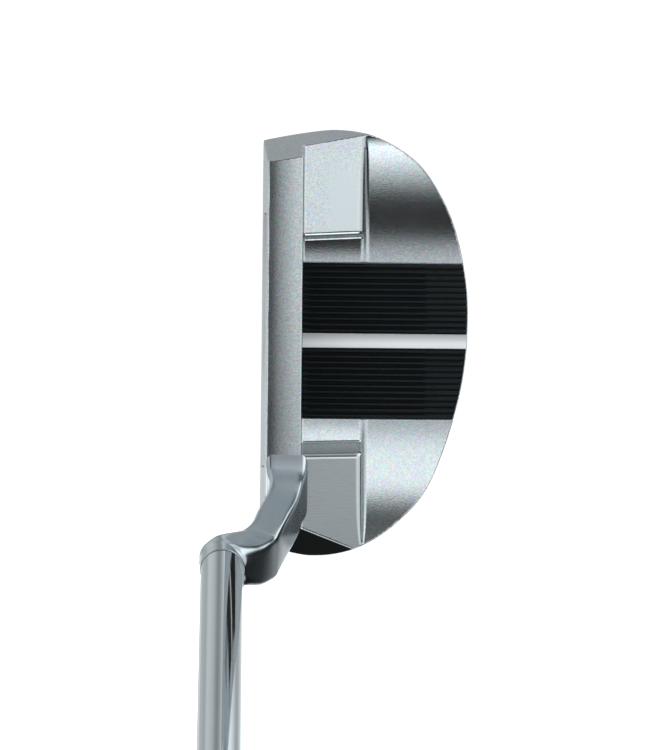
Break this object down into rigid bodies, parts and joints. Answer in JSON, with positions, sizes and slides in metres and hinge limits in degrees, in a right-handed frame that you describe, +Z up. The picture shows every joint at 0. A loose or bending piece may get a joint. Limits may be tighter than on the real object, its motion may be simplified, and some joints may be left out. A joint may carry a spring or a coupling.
{
  "type": "mallet putter",
  "caption": "Half-moon mallet putter with ribbed alignment inlays, crank neck, stepped steel shaft and pistol grip, standing in the address position.",
  "frame": {"origin": "on the flat of the sole, under the sight line, 25 mm behind the leading edge", "axes": "-X towards the target, out of the face; +Y from heel to toe; +Z up from the ground, with the putter in the address position at a lie of 70 degrees"},
  "size_m": [0.0713, 0.3897, 0.8145],
  "materials": {
    "satin_steel": "bead-blasted satin steel, with a brushed grain on the bumpers",
    "polished_neck_steel": "softly polished steel",
    "milled_aluminium": "finely milled face",
    "adhesive_film": "cured adhesive",
    "black_anodised": "black anodised, ribbed",
    "white_paint": "satin white paint",
    "weight_steel": "turned steel",
    "chrome_shaft": "bright chrome plating",
    "grip_tape": "paper-backed double-sided tape",
    "black_rubber": "moulded matt rubber"
  },
  "bodies": {
    "root": {"head_body": "satin_steel", "hosel_neck": "polished_neck_steel", "face_insert": "milled_aluminium", "face_insert_adhesive": "adhesive_film", "toe_ribbed_inlay": "black_anodised", "heel_ribbed_inlay": "black_anodised", "toe_inlay_adhesive": "adhesive_film", "heel_inlay_adhesive": "adhesive_film", "sight_line_bar": "white_paint", "toe_sole_weight": "weight_steel", "heel_sole_weight": "weight_steel", "toe_weight_oring": "black_rubber", "heel_weight_oring": "black_rubber", "shaft": "chrome_shaft", "shaft_epoxy_film": "adhesive_film", "grip_tape": "grip_tape", "grip": "black_rubber", "grip_end_cap": "black_rubber"}
  },
  "joints": []
}
